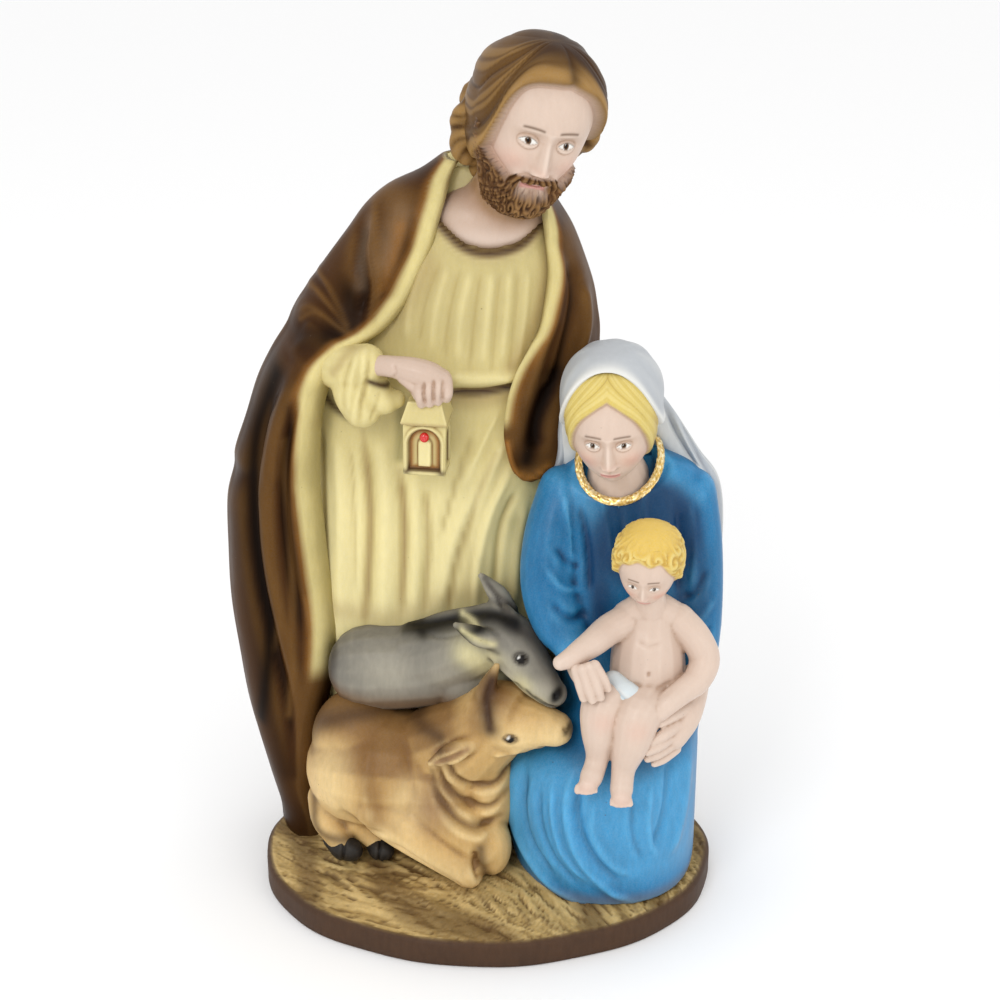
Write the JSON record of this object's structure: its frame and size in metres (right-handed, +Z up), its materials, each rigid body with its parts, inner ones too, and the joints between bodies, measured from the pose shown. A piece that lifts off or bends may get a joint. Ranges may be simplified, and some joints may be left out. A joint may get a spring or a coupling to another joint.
{
  "type": "nativity figurine",
  "caption": "Painted plaster nativity group: a standing bearded man with a lantern, a seated mother with a child on her lap, a donkey and an ox, on one oval plinth.",
  "frame": {"origin": "middle of the plinth's flat underside, on the surface that the group stands on", "axes": "+Z up, the figures face -Y, and +X is to the right of someone who looks at their faces"},
  "size_m": [0.2325, 0.164, 0.4008],
  "materials": {
    "painted_plaster": "hand-painted plaster under a thin satin varnish"
  },
  "bodies": {
    "root": {"nativity_group": "painted_plaster"}
  },
  "joints": []
}
